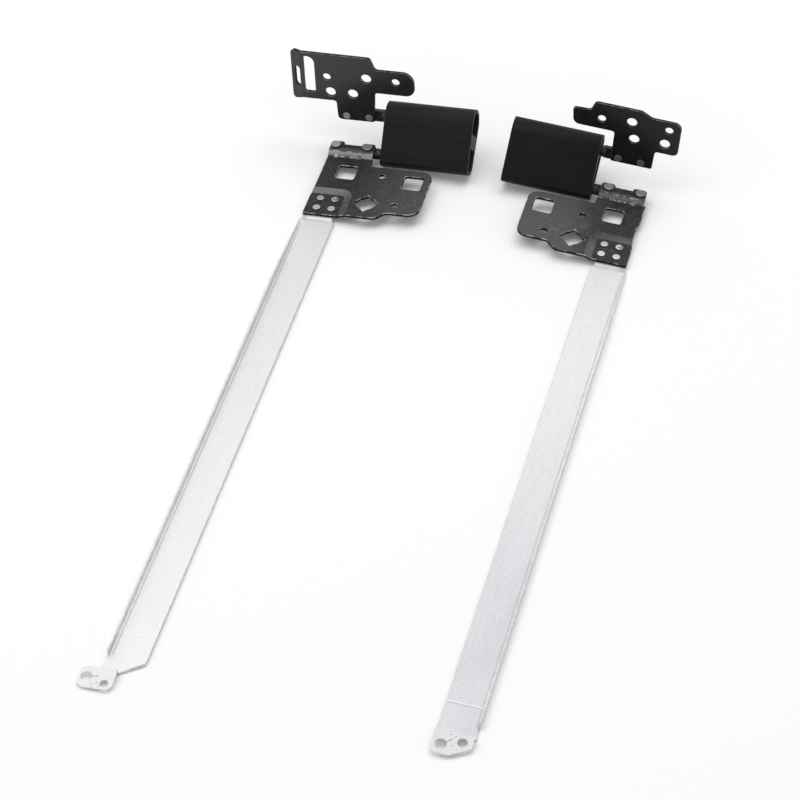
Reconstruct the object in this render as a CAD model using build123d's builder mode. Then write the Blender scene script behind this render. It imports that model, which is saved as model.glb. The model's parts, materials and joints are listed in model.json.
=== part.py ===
from build123d import *
import os
from math import acos, atan2, cos, hypot, pi, radians, sin, tan

# A pair of dual-axis hinges for a convertible laptop, opened to a right angle and lying side by side.
# Every piece is modelled for the left hinge, with x from the strip's outer edge towards the middle of
# the pair. The right hinge is its mirror image, with its own strip end, plate edge and base bracket.

# Layout of one hinge, in millimetres and degrees
opening = 90.0  # angle between lid plate and base bracket, 180 is flat open
half_span = 42.8  # middle of the pair to a strip's outer edge
cover_reach = 15.0  # strip's outer edge to the cover's outer end
axis_from_front = 27.3  # lid plate's front edge to the lid shaft's axis
axis_gap = 10.2  # lid shaft's axis to base shaft's axis

# Sheet thicknesses and levels
sheet = 0.8  # lid plate and base brackets
strip_sheet = 0.5
tang_thickness = 1.2
shelf_rise = 1.3  # plate up to its shelf
pad_drop = 0.6  # plate down to its pad
strip_joggle = 0.3  # strip's step down in front of the pad

# Cover
cover_length = 23.6
lid_lobe = 3.1  # outer radius round the lid shaft
base_lobe = 4.1  # outer radius round the base shaft
cover_front = 2.9  # lid shaft's axis to the front face
cover_corner = 1.4  # rounding of the front lower corner
cover_wall = 0.9
gear_room = 14.2  # length of the undivided hollow
web_start = 3.7  # web between the channels, from the lid shaft's axis
web_thickness = 3.7

# Shafts
tang_width = 3.2
tang_gap = 0.7  # cover's outer end to the flat tang
lid_tang_end = 14.0
base_tang_end = 12.4
neck_radius = 1.45
neck_length = 1.6
neck_in_cover = 0.3
journal_radius = 1.25
journal_flat = 0.95  # half the width across the two flats
shaft_tip = 0.6  # beyond the nut
shaft_chamfer = 0.2
running_gap = 0.04  # radial clearance of a turning fit
seat_gap = 0.02  # clearance of a fixed fit

# Works inside the cover
end_plate_inset = 0.4
bearing_plate = 1.0
side_gap = 0.1  # between a gear or disc and a plate
gear_width = 2.8
teeth = 12
flank_slope = 20.0
backlash = 0.1
addendum_ratio = 0.75
dedendum_ratio = 1.0
pin_radius = 0.5
plate_gap = 0.06  # plates to the cover's inner wall
disc_radius = 1.95
disc_thickness = 0.4
friction_plate = 0.8
friction_count = 3
rub_gap = 0.05  # between disc and friction plate
spring_height = 0.7
spring_sheet = 0.3
nut_radius = 1.95
nut_thickness = 1.5

# Lid plate, x from the strip's outer edge and y from the front edge
plate_inset = 0.95  # strip's outer edge to the plate's
pad_inset = 0.5
inset_front = 7.6
inset_back = 10.6
lobe_end = 19.6
lobe_run = 2.2
lobe_round = 3.0
wing_front = 2.8
wing_reach = 30.2
wing_back = 21.6
wing_round = 3.1
shelf_inset = 0.95
shelf_reach = 12.9
shelf_splay = 0.4
riser_foot = -2.5  # from the lid shaft's axis
riser_head = -1.75
ear_back = 2.1
ear_step = 1.2  # ears beyond the dip between them
ear_width = 3.7
ear_round = 1.0
gusset_width = 0.9
gusset_foot = 0.5
gusset_rise = 0.7
gussets_at = (2.9, 8.8)
pad_width = 9.7
pad_depth = 8.6
pad_round = 1.0
pad_slope = 17.0
pad_margin = 3.0
side_ear = 0.55  # ear on the right plate's outer edge
side_ear_front = 15.4
side_ear_full = 17.5
window_size = (5.0, 5.6)
window_round = 0.7
outer_window = (7.65, 17.9)
window_from_wing = 4.5  # inner window's middle to the wing's end
inner_window = (wing_reach - window_from_wing, 16.2)
diamond_at = (15.9, 5.8)
diamond_side = 4.8
diamond_bulge = 2.55
left_plate_hole_at = (17.2, 17.8)
right_plate_hole_at = (15.2, 15.5)
plate_hole = 0.9
small_hole_at = (23.4, 6.1)
small_hole = 1.05

# Strip, x from its outer edge and y forwards from the lid plate's front edge
strip_width = 9.2
seat_inset = 0.7
seat_length = 8.0
joggle_start = 0.4
joggle_run = 0.8
flange_height = 2.0
flange_start = 2.5
flange_foot = 0.4  # flange's height at its start
flange_ramp = 24.0  # run over which the flange gains its height
ramp_margin = 1.0
bend_radius = 0.3
tab_rise = 1.6  # strip up to the tab's near edge
tab_run = 0.5
tab_tilt = 12.0  # tab's fall towards its far edge
tab_round = 1.8
slit_length = 1.6
slit_width = 0.22
slit_aim = 2.1  # slit points this far behind the smaller hole
left_strip_length = 170.0
left_tab_length = 5.7
left_flange_stop = 5.0  # flange's end short of the strip's
left_cut = 4.1  # slanting cut on the left strip's inner corner
left_tab = (-4.1, 4.2)
left_tab_holes = ((-2.2, 2.9, 1.35), (2.2, 4.1, 1.0))
right_strip_length = 169.6
right_tab_length = 6.0
right_flange_stop = 3.7
right_tab = (0.3, 9.4)
right_tab_cut = (4.6, 2.9)  # slanting cut on the right tab's outer corner
right_tab_holes = ((7.2, 3.6, 1.35), (2.65, 2.1, 1.15))

# Rivets
shank_radius = 0.7
tail_radius = 1.0
tail_height = 0.25
strip_head = 1.05
strip_head_height = 0.4
strip_rivet_pitch = (3.9, 4.0)
strip_rivets_centre = (5.6, 4.5)
lid_head = 1.4
lid_head_height = 0.6
lid_rivets_at = (2.5, 10.9)
base_head = 1.05
base_head_height = 0.4
base_rivet_pitch = 6.0

# Base brackets, x inwards from the outer rivet and y up from the base shaft's axis
bracket_offset = 10.7  # cover's outer end out to the outer rivet
bracket_bottom = -1.5
bracket_side = 7.9  # inner edge beside the cover
tongue_bottom = 7.9
bracket_top = 18.6
tongue_top = 15.1
tongue_reach = 18.6
bracket_step = 7.0
bracket_splay = 0.6  # inner edge, from its foot out to the tongue
step_run = 1.3
step_round = 1.1
toe_round = 0.5
notch_round = 0.8
tongue_round_low = 2.4
tongue_round_high = 3.2
foot_splay = 0.2
foot_round = 1.2
left_foot = -2.5
post_bottom = 4.2
post_bend = -11.8
post_length = 3.1
post_angle = 24.0
post_round = 1.4
post_foot = 1.2  # lower outer corner, below the bend's foot
post_foot_round = 0.9
post_slot = (1.8, 6.0)
post_slot_at = 1.15  # from the bend
post_slot_drop = 0.6  # below the post's middle
bracket_window = (-10.9, 6.4, -8.1, 17.4)
window_crown = 2.0
window_corner = 0.6
left_bracket_holes = (
    (-4.9, 11.5, 1.05),
    (-4.1, 6.9, 1.35),
    (5.7, 12.1, 1.35),
    (1.9, 6.9, 1.35),
    (13.6, 11.9, 1.05),
)
right_foot = -3.0
right_outer = -9.1
right_shoulder = 14.4
right_round = 2.0
right_top = 15.9
right_tongue_top = 12.9
right_tongue_reach = 19.4
hook_run = 0.6
hook_round = 0.8
hook_length = 4.6
hook_rise = 0.2
hook_step = 1.0
crown_start = 1.6
crown_foot = -1.2
crown_round = 1.4
right_tongue_round = 1.8
right_bracket_holes = (
    (11.6, 11.1, 1.05),
    (3.8, 11.9, 1.35),
    (2.6, 6.8, 1.35),
    (-6.0, 11.7, 1.05),
    (-5.4, 7.3, 1.35),
)

# Levels above the lid shaft's axis
shelf_bottom = tang_thickness / 2
shelf_top = shelf_bottom + sheet
plate_bottom = shelf_bottom - shelf_rise
plate_top = plate_bottom + sheet
pad_bottom = plate_bottom - pad_drop
pad_top = pad_bottom + sheet
seat_bottom = pad_bottom - strip_sheet
strip_bottom = seat_bottom - strip_joggle
strip_top = strip_bottom + strip_sheet

# Each hinge lies on its strip's outer edge and on the outer end of its cover, so it leans outwards
lean = atan2(lid_lobe + strip_bottom, cover_reach)
cover_angle = 90 - opening / 2
along = Vector(cos(lean), 0, sin(lean))
upward = Vector(-sin(lean), 0, cos(lean))
away = Vector(0, 1, 0)

# The pair is centred on the origin between its outermost edges
post_turn = radians(post_angle)
lid_x = -half_span + cover_reach * cos(lean) + strip_bottom * sin(lean)
base_x = lid_x - axis_gap * sin(radians(cover_angle)) * sin(lean)
post_reach = bracket_offset - post_bend + (post_length - post_round) * cos(post_turn)
post_corner = hypot(post_round * cos(post_turn) * cos(lean), post_round * sin(lean))
left_reach = post_reach * cos(lean) + (bracket_top - post_round) * sin(lean) + post_corner - base_x
outer_reach = bracket_offset - right_outer - right_round
right_reach = outer_reach * cos(lean) + (right_shoulder - right_round) * sin(lean) + right_round - base_x
middle = (left_reach - right_reach) / 2
tab_turn = radians(tab_tilt)
left_strip_reach = left_strip_length + left_tab_length * cos(tab_turn)
right_strip_reach = right_strip_length + right_tab_length * cos(tab_turn)
strip_reach = max(left_strip_reach, right_strip_reach) + tab_run + strip_sheet * sin(tab_turn)
front_reach = axis_from_front + strip_reach
back_reach = axis_gap * cos(radians(cover_angle)) + base_lobe
axis_y = (front_reach - back_reach) / 2


def frame(origin, angle):
    # Plane with x along the shafts, turned about them from the lid plate's own plane
    turn = radians(angle)
    return Plane(origin=origin, x_dir=along, z_dir=upward * cos(turn) - away * sin(turn))


def at(plane, x=0.0, y=0.0, z=0.0):
    # The same plane, moved within its own axes
    return Plane(origin=plane.from_local_coords((x, y, z)), x_dir=plane.x_dir, z_dir=plane.z_dir)


def across(plane, x):
    # Plane square to the given plane's x, seen with its y to the right and its z up
    return Plane(origin=plane.from_local_coords((x, 0, 0)), x_dir=plane.y_dir, z_dir=plane.x_dir)


lid_frame = frame((middle + lid_x, axis_y, lid_lobe * cos(lean)), 0)
cover_frame = frame(lid_frame.origin, cover_angle)
base_frame = frame(cover_frame.from_local_coords((0, axis_gap, 0)), 2 * cover_angle)
plate_frame = at(lid_frame, -cover_reach, -axis_from_front)
bracket_frame = at(base_frame, -bracket_offset)
mirror_plane = Plane.YZ.offset(middle)

# Places of the works along the shafts, from the cover's outer end
gear_start = end_plate_inset + bearing_plate + side_gap
gear_plate_start = gear_start + gear_width + side_gap
stack_start = gear_plate_start + bearing_plate + side_gap
stack_pitch = disc_thickness + friction_plate + 2 * rub_gap
disc_starts = [stack_start + index * stack_pitch for index in range(friction_count + 1)]
spring_start = disc_starts[-1] + disc_thickness
nut_start = spring_start + 2 * spring_height
shaft_end = nut_start + nut_thickness + shaft_tip

# Places of the rivets, on the lid plate, on the base bracket and along the tangs
column, row = strip_rivet_pitch
middle_x, middle_y = strip_rivets_centre
strip_rivet_places = [
    (middle_x + side * column / 2, middle_y + end * row / 2) for side in (-1, 1) for end in (-1, 1)
]
lid_rivet_places = [(x, axis_from_front) for x in lid_rivets_at]
base_rivet_places = [(0, 0), (base_rivet_pitch, 0)]
lid_tang_holes = [(x - cover_reach, 0) for x in lid_rivets_at]
base_tang_holes = [(x - bracket_offset, 0) for x, y in base_rivet_places]

os.makedirs("parts", exist_ok=True)


def save(name, piece):
    piece.part.label = name
    export_step(piece.part, f"parts/{name}.step")


def save_right(name, piece):
    with BuildPart() as twin:
        mirror(piece.part, about=mirror_plane)
    save(f"right_{name}", twin)


def save_pair(name, piece):
    save(f"left_{name}", piece)
    save_right(name, piece)


def rounded(corners, mode=Mode.ADD):
    # Face with straight edges between corners, each given as (x, y, rounding)
    stations = []
    for index, (x, y, radius) in enumerate(corners):
        here = Vector(x, y)
        to_last = (Vector(*corners[index - 1][:2]) - here).normalized()
        to_next = (Vector(*corners[(index + 1) % len(corners)][:2]) - here).normalized()
        half = radians(to_last.get_angle(to_next)) / 2
        setback = radius / tan(half)
        crown = here + (to_last + to_next).normalized() * (radius / sin(half) - radius)
        stations.append((here + to_last * setback, crown, here + to_next * setback))
    with BuildLine(Plane.XY) as outline:
        for index, (start, crown, end) in enumerate(stations):
            if corners[index][2] > 0:
                ThreePointArc(start, crown, end)
            Line(end, stations[(index + 1) % len(stations)][0])
    make_face(outline.edges(), mode=mode)


def box(left, bottom, right, top, radius=0.0, mode=Mode.ADD):
    corners = [(left, bottom), (right, bottom), (right, top), (left, top)]
    rounded([(x, y, radius) for x, y in corners], mode)


def wrap_circles(circles):
    # Face inside a belt drawn tight round circles, given anticlockwise as (x, y, radius)
    following = circles[1:] + circles[:1]
    leaving = []
    for (x1, y1, r1), (x2, y2, r2) in zip(circles, following):
        course = atan2(y2 - y1, x2 - x1)
        leaving.append(course - acos((r1 - r2) / hypot(x2 - x1, y2 - y1)))
    with BuildLine(Plane.XY) as belt:
        for index, (x, y, r) in enumerate(circles):
            arrive = leaving[index - 1]
            sweep = (leaving[index] - arrive) % (2 * pi)
            turns = (arrive, arrive + sweep / 2, arrive + sweep)
            bend = [(x + r * cos(turn), y + r * sin(turn)) for turn in turns]
            ThreePointArc(*bend)
            x2, y2, r2 = following[index]
            Line(bend[2], (x2 + r2 * cos(leaving[index]), y2 + r2 * sin(leaving[index])))
    make_face(belt.edges())


def cover_section(inset):
    # Section of the cover, or of what fits in it, pulled in by inset
    corner = (cover_corner - lid_lobe, cover_front - cover_corner, cover_corner - inset)
    wrap_circles([(0, 0, lid_lobe - inset), (axis_gap, 0, base_lobe - inset), corner])


def keyed_circle(centre, growth, mode=Mode.ADD):
    # Round shaft with two flats, or the hole that fits it
    radius = journal_radius + growth
    flat = journal_flat + growth
    half = (radius**2 - flat**2) ** 0.5
    with BuildLine(Plane.XY) as key:
        Line((centre - half, -flat), (centre + half, -flat))
        ThreePointArc((centre + half, -flat), (centre + radius, 0), (centre + half, flat))
        Line((centre + half, flat), (centre - half, flat))
        ThreePointArc((centre - half, flat), (centre - radius, 0), (centre - half, -flat))
    make_face(key.edges(), mode=mode)


def shank_holes(places):
    with Locations(*places):
        Circle(shank_radius, mode=Mode.SUBTRACT)


def bearing(start):
    # Plate that fills the cover's hollow and carries both shafts and the idler pins
    with BuildPart() as plate:
        with BuildSketch(across(cover_frame, start)):
            cover_section(cover_wall + plate_gap)
            with Locations((0, 0), (axis_gap, 0)):
                Circle(journal_radius + running_gap, mode=Mode.SUBTRACT)
            with Locations(*idler_places):
                Circle(pin_radius, mode=Mode.SUBTRACT)
        extrude(amount=bearing_plate)
    return plate


# Cover, closed round and divided by a web beyond the works
with BuildPart() as cover:
    with BuildSketch(across(cover_frame, 0)):
        cover_section(0)
    extrude(amount=cover_length)
    with BuildSketch(across(cover_frame, 0)):
        cover_section(cover_wall)
    extrude(amount=gear_room, mode=Mode.SUBTRACT)
    with BuildSketch(across(cover_frame, gear_room)):
        cover_section(cover_wall)
        box(web_start, -base_lobe, web_start + web_thickness, base_lobe, mode=Mode.SUBTRACT)
    extrude(amount=cover_length - gear_room, mode=Mode.SUBTRACT)
save_pair("cover", cover)

# Plates inside the cover
idler_places = [(axis_gap / 3, 0), (2 * axis_gap / 3, 0)]

save_pair("end_plate", bearing(end_plate_inset))
save_pair("gear_plate", bearing(gear_plate_start))

with BuildPart() as friction_plates:
    for disc_start in disc_starts[:-1]:
        with BuildSketch(across(cover_frame, disc_start + disc_thickness + rub_gap)):
            cover_section(cover_wall + plate_gap)
            with Locations((0, 0), (axis_gap, 0)):
                Circle(journal_radius + running_gap, mode=Mode.SUBTRACT)
        extrude(amount=friction_plate)
save_pair("friction_plates", friction_plates)

with BuildPart() as idler_pins:
    with BuildSketch(across(cover_frame, end_plate_inset)):
        with Locations(*idler_places):
            Circle(pin_radius)
    extrude(amount=gear_plate_start + bearing_plate - end_plate_inset)
save_pair("idler_pins", idler_pins)

# Gears: the four run in mesh, so each shaft turns against the cover as much as the other
pitch_radius = axis_gap / 6
module = 2 * pitch_radius / teeth
tip_radius = pitch_radius + addendum_ratio * module
root_radius = pitch_radius - dedendum_ratio * module


def tooth_half(radius):
    # Half a tooth's thickness at the given radius
    return (pi * module / 2 - backlash) / 2 - (radius - pitch_radius) * tan(radians(flank_slope))


def gear_blank(centre, turn):
    # Gear section with one tooth at the given angle from the line of shafts
    foot = tooth_half(root_radius)
    tip = tooth_half(tip_radius)
    inside = root_radius * cos(pi / teeth)
    with Locations((centre, 0)):
        Circle(root_radius)
        with PolarLocations(0, teeth, start_angle=turn):
            Polygon((inside, -foot), (tip_radius, -tip), (tip_radius, tip), (inside, foot), align=None)


def shaft_gear(centre, turn):
    with BuildPart() as gear:
        with BuildSketch(across(cover_frame, gear_start)):
            gear_blank(centre, turn)
            keyed_circle(centre, seat_gap, Mode.SUBTRACT)
        extrude(amount=gear_width)
    return gear


def idler_gear(centre, turn):
    with BuildPart() as gear:
        with BuildSketch(across(cover_frame, gear_start)):
            gear_blank(centre, turn)
            with Locations((centre, 0)):
                Circle(pin_radius + running_gap, mode=Mode.SUBTRACT)
        extrude(amount=gear_width)
    return gear


half_tooth = 180 / teeth
save_pair("lid_gear", shaft_gear(0, 0))
save_pair("idler_lid", idler_gear(axis_gap / 3, half_tooth))
save_pair("idler_base", idler_gear(2 * axis_gap / 3, 0))
save_pair("base_gear", shaft_gear(axis_gap, half_tooth))


def shaft(tang_frame, centre, tang_end, holes):
    # Flat tang, round neck and a journal with two flats
    with BuildPart() as turned:
        with BuildSketch(at(tang_frame, z=-tang_thickness / 2)):
            box(-tang_end, -tang_width / 2, -tang_gap, tang_width / 2)
            shank_holes(holes)
        extrude(amount=tang_thickness)
        with BuildSketch(across(cover_frame, neck_in_cover - neck_length)):
            with Locations((centre, 0)):
                Circle(neck_radius)
        extrude(amount=neck_length)
        with BuildSketch(across(cover_frame, neck_in_cover)):
            with Locations((centre, 0)):
                Circle(journal_radius)
        extrude(amount=gear_start - side_gap / 2 - neck_in_cover)
        with BuildSketch(across(cover_frame, gear_start - side_gap / 2)):
            keyed_circle(centre, 0)
        extrude(amount=shaft_end - gear_start + side_gap / 2)
        tip = turned.faces().sort_by(Axis(cover_frame.origin, cover_frame.x_dir))[-1]
        chamfer(tip.edges(), shaft_chamfer)
    return turned


def disc_stack(centre):
    with BuildPart() as discs:
        for disc_start in disc_starts:
            with BuildSketch(across(cover_frame, disc_start)):
                with Locations((centre, 0)):
                    Circle(disc_radius)
                keyed_circle(centre, seat_gap, Mode.SUBTRACT)
            extrude(amount=disc_thickness)
    return discs


def cone_springs(centre):
    # Two conical washers, rim to rim
    plane = at(cover_frame, y=centre)
    bore = journal_radius + running_gap
    rim = spring_start + spring_height
    with BuildPart() as springs:
        with BuildSketch(plane):
            Polygon(
                (spring_start, bore),
                (spring_start + spring_sheet, bore),
                (rim, disc_radius),
                (rim - spring_sheet, disc_radius),
                align=None,
            )
        revolve(axis=Axis(plane.origin, plane.x_dir))
        with BuildSketch(plane):
            Polygon(
                (rim, disc_radius),
                (rim + spring_sheet, disc_radius),
                (nut_start, bore),
                (nut_start - spring_sheet, bore),
                align=None,
            )
        revolve(axis=Axis(plane.origin, plane.x_dir))
    return springs


def hex_nut(centre):
    with BuildPart() as nut:
        with BuildSketch(across(cover_frame, nut_start)):
            with Locations((centre, 0)):
                RegularPolygon(nut_radius, 6)
                Circle(journal_radius, mode=Mode.SUBTRACT)
        extrude(amount=nut_thickness)
    return nut


save_pair("lid_shaft", shaft(lid_frame, 0, lid_tang_end, lid_tang_holes))
save_pair("base_shaft", shaft(base_frame, axis_gap, base_tang_end, base_tang_holes))
save_pair("lid_discs", disc_stack(0))
save_pair("base_discs", disc_stack(axis_gap))
save_pair("lid_springs", cone_springs(0))
save_pair("base_springs", cone_springs(axis_gap))
save_pair("lid_nut", hex_nut(0))
save_pair("base_nut", hex_nut(axis_gap))


def rivet_group(plane, places, head, height, top, bottom):
    # Flat-headed rivets through a stack of sheets, with clinched tails
    with BuildPart() as group:
        with BuildSketch(at(plane, z=bottom - tail_height)):
            with Locations(*places):
                Circle(tail_radius)
        extrude(amount=tail_height)
        with BuildSketch(at(plane, z=bottom)):
            with Locations(*places):
                Circle(shank_radius)
        extrude(amount=top - bottom)
        with BuildSketch(at(plane, z=top)):
            with Locations(*places):
                Circle(head)
        extrude(amount=height)
        crowns = group.faces().group_by(Axis(plane.origin, plane.z_dir))[-1]
        chamfer(crowns.edges(), height / 2)
    return group


save_pair(
    "strip_rivets",
    rivet_group(plate_frame, strip_rivet_places, strip_head, strip_head_height, pad_top, seat_bottom),
)
save_pair(
    "lid_rivets",
    rivet_group(plate_frame, lid_rivet_places, lid_head, lid_head_height, shelf_top, -shelf_bottom),
)
save_pair(
    "base_rivets",
    rivet_group(bracket_frame, base_rivet_places, base_head, base_head_height, shelf_top, -shelf_bottom),
)


# Lid plate: a pad pressed down for the strip and a shelf raised over the lid shaft's tang
riser_angle = atan2(shelf_rise, riser_head - riser_foot)
riser_setback = sheet * tan(riser_angle / 2)
pad_setback = sheet * tan(radians(pad_slope) / 2)
shelf_line = axis_from_front + riser_foot
plain_edge = [(plate_inset, shelf_line, 0), (plate_inset, inset_back, 0), (pad_inset, inset_front, 0)]
eared_edge = [
    (plate_inset - side_ear, shelf_line, 0),
    (plate_inset - side_ear, side_ear_full, 0),
    (plate_inset, side_ear_front, 0),
    (plate_inset, inset_back, 0),
    (pad_inset, inset_front, 0),
]
wing_edge = [
    (pad_inset, 0, 0),
    (lobe_end, 0, lobe_round),
    (lobe_end + lobe_run, wing_front, lobe_round / 2),
    (wing_reach, wing_front, wing_round),
    (wing_reach, wing_back, wing_round),
    (shelf_reach + shelf_splay, wing_back, 0),
    (shelf_reach, shelf_line, 0),
]


def lid_plate(outer_edge, hole_at):
    outline = wing_edge + outer_edge
    riser = [
        (riser_foot, plate_bottom),
        (riser_head, shelf_bottom),
        (riser_head - riser_setback, shelf_top),
        (riser_foot - riser_setback, plate_top),
    ]
    gusset = [
        (riser_foot - riser_setback - gusset_foot, plate_top),
        (riser_foot, plate_bottom),
        (riser_foot - riser_setback + gusset_rise / tan(riser_angle), plate_top + gusset_rise),
    ]
    shelf_front = axis_from_front + riser_head - riser_setback
    ears = axis_from_front + ear_back
    dip = ears - ear_step
    with BuildPart() as plate:
        with BuildSketch(at(plate_frame, z=pad_bottom)):
            rounded(outline)
        extrude(amount=plate_top - pad_bottom)
        with BuildSketch(at(plate_frame, z=pad_bottom)):
            rounded(
                [
                    (-pad_margin, -pad_margin, 0),
                    (pad_width + pad_setback, -pad_margin, 0),
                    (pad_width + pad_setback, pad_depth + pad_setback, pad_round),
                    (-pad_margin, pad_depth + pad_setback, 0),
                ]
            )
        extrude(amount=plate_top - pad_bottom, taper=pad_slope - 90, mode=Mode.INTERSECT)
        with BuildSketch(at(plate_frame, z=plate_bottom)):
            rounded(outline)
        extrude(amount=sheet)
        with BuildSketch(at(plate_frame, z=pad_top)):
            rounded(
                [
                    (-pad_margin, -pad_margin, 0),
                    (pad_width, -pad_margin, 0),
                    (pad_width, pad_depth, pad_round),
                    (-pad_margin, pad_depth, 0),
                ]
            )
        extrude(amount=pad_drop, taper=pad_slope - 90, mode=Mode.SUBTRACT)
        with BuildSketch(across(plate_frame, shelf_inset)):
            with Locations((axis_from_front, 0)):
                Polygon(*riser, align=None)
        extrude(amount=shelf_reach - shelf_inset)
        for gusset_at in gussets_at:
            with BuildSketch(across(plate_frame, gusset_at)):
                with Locations((axis_from_front, 0)):
                    Polygon(*gusset, align=None)
            extrude(amount=gusset_width)
        with BuildSketch(at(plate_frame, z=shelf_bottom)):
            rounded(
                [
                    (shelf_inset, shelf_front, 0),
                    (shelf_reach, shelf_front, 0),
                    (shelf_reach, ears, ear_round),
                    (shelf_reach - ear_width, ears, ear_round),
                    (shelf_reach - ear_width, dip, 0),
                    (shelf_inset + ear_width, dip, 0),
                    (shelf_inset + ear_width, ears, ear_round),
                    (shelf_inset, ears, ear_round),
                ]
            )
            shank_holes(lid_rivet_places)
        extrude(amount=sheet)
        with BuildSketch(at(plate_frame, z=pad_bottom)):
            with Locations(outer_window, inner_window):
                RectangleRounded(*window_size, window_round)
            with Locations(diamond_at):
                Rectangle(diamond_side, diamond_side, rotation=45)
                Circle(diamond_bulge)
            with Locations(hole_at):
                Circle(plate_hole)
            with Locations(small_hole_at):
                Circle(small_hole)
            with Locations(*strip_rivet_places):
                Circle(shank_radius)
        extrude(amount=plate_top - pad_bottom, mode=Mode.SUBTRACT)
    return plate


save("left_lid_plate", lid_plate(plain_edge, left_plate_hole_at))
save_right("lid_plate", lid_plate(eared_edge, right_plate_hole_at))


def tab_plane(length):
    # Underside of the tab, from its near edge
    z_dir = plate_frame.z_dir * cos(tab_turn) - plate_frame.y_dir * sin(tab_turn)
    corner = plate_frame.from_local_coords((0, -length - tab_run, strip_bottom + tab_rise))
    return Plane(origin=corner, x_dir=plate_frame.x_dir, z_dir=z_dir)


def lid_strip(end_outline, length, flange_stop, tab, tab_outline, holes):
    # Long thin strip with a low flange, riveted under the pad and ending in a raised tab with two holes
    link_left = max(tab[0], 0)
    link_right = min(tab[1], strip_width)
    lip = joggle_start + joggle_run
    flange_end = length - flange_stop
    section_plane = at(plate_frame, y=-flange_start)
    big_x, big_y, big_r = holes[0]
    slit_turn = atan2(big_y - holes[1][1] + slit_aim, holes[1][0] - big_x) * 180 / pi
    ramp_start = strip_top + flange_foot
    ramp_top = strip_top + flange_height
    tab_start = -length - tab_run
    with BuildPart() as strip:
        with BuildSketch(at(plate_frame, z=seat_bottom)):
            box(seat_inset, -joggle_start, strip_width - seat_inset, seat_length)
            shank_holes(strip_rivet_places)
        extrude(amount=strip_sheet)
        with BuildSketch(across(plate_frame, seat_inset)):
            Polygon(
                (-joggle_start, seat_bottom),
                (-joggle_start, pad_bottom),
                (-lip, strip_top),
                (-lip, strip_bottom),
                align=None,
            )
        extrude(amount=strip_width - 2 * seat_inset)
        with BuildSketch(at(plate_frame, z=strip_bottom)):
            box(0, -flange_start, strip_width, -lip)
            rounded([(0, -flange_end, 0), (strip_width, -flange_end, 0)] + end_outline)
        extrude(amount=strip_sheet)
        with BuildSketch(Plane(section_plane.origin, x_dir=section_plane.x_dir, z_dir=-away)):
            rounded(
                [
                    (0, strip_bottom, strip_sheet + bend_radius),
                    (strip_width, strip_bottom, 0),
                    (strip_width, strip_top, 0),
                    (strip_sheet, strip_top, bend_radius),
                    (strip_sheet, ramp_top, 0),
                    (0, ramp_top, 0),
                ]
            )
        extrude(amount=flange_end - flange_start)
        with BuildSketch(across(plate_frame, -ramp_margin)):
            Polygon(
                (-flange_start, ramp_start),
                (ramp_margin - flange_start, ramp_start),
                (ramp_margin - flange_start, ramp_top + ramp_margin),
                (-flange_start - flange_ramp, ramp_top + ramp_margin),
                (-flange_start - flange_ramp, ramp_top),
                align=None,
            )
        extrude(amount=strip_sheet + 2 * ramp_margin, mode=Mode.SUBTRACT)
        with BuildSketch(across(plate_frame, link_left)):
            Polygon(
                (-length, strip_bottom),
                (-length, strip_top),
                (
                    tab_start - strip_sheet * sin(tab_turn),
                    strip_bottom + tab_rise + strip_sheet * cos(tab_turn),
                ),
                (tab_start, strip_bottom + tab_rise),
                align=None,
            )
        extrude(amount=link_right - link_left)
        with BuildSketch(tab_plane(length)):
            rounded(tab_outline)
            for x, y, radius in holes:
                with Locations((x, -y)):
                    Circle(radius, mode=Mode.SUBTRACT)
            with Locations((big_x, -big_y)):
                with PolarLocations(big_r + slit_length / 2 - slit_width, 1, start_angle=slit_turn):
                    Rectangle(slit_length, slit_width, mode=Mode.SUBTRACT)
        extrude(amount=strip_sheet)
    return strip


left_end = [(strip_width, left_cut - left_strip_length, 0), (left_tab[1], -left_strip_length, 0)]
left_end += [(0, -left_strip_length, 0)]
right_end = [(strip_width, -right_strip_length, 0), (0, -right_strip_length, 0)]
left_outline = [
    (left_tab[0], -left_tab_length, tab_round),
    (left_tab[1], -left_tab_length, tab_round),
    (left_tab[1], 0, 0),
    (left_tab[0], 0, tab_round),
]
right_outline = [
    (right_tab[0], right_tab_cut[1] - right_tab_length, tab_round / 2),
    (right_tab[0] + right_tab_cut[0], -right_tab_length, tab_round),
    (right_tab[1], -right_tab_length, tab_round),
    (right_tab[1], 0, 0),
    (right_tab[0], 0, 0),
]
left_sizes = (left_strip_length, left_flange_stop, left_tab, left_outline, left_tab_holes)
right_sizes = (right_strip_length, right_flange_stop, right_tab, right_outline, right_tab_holes)
save("left_lid_strip", lid_strip(left_end, *left_sizes))
save_right("lid_strip", lid_strip(right_end, *right_sizes))


def bracket_cuts(holes):
    for x, y, radius in holes:
        with Locations((x, y)):
            Circle(radius, mode=Mode.SUBTRACT)
    shank_holes(base_rivet_places)


# Left base bracket, with a tongue over the cover and a slotted post bent back at its outer end
bracket_face = at(bracket_frame, z=shelf_bottom)
post_x = bracket_frame.x_dir * cos(post_turn) + bracket_frame.z_dir * sin(post_turn)
post_z = bracket_frame.z_dir * cos(post_turn) - bracket_frame.x_dir * sin(post_turn)
post_start = bracket_frame.from_local_coords((post_bend, 0, shelf_top))
post_plane = Plane(origin=post_start, x_dir=post_x, z_dir=post_z)
post_middle = (post_bottom + bracket_top) / 2
window_west, window_south, window_east, window_north = bracket_window

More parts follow.
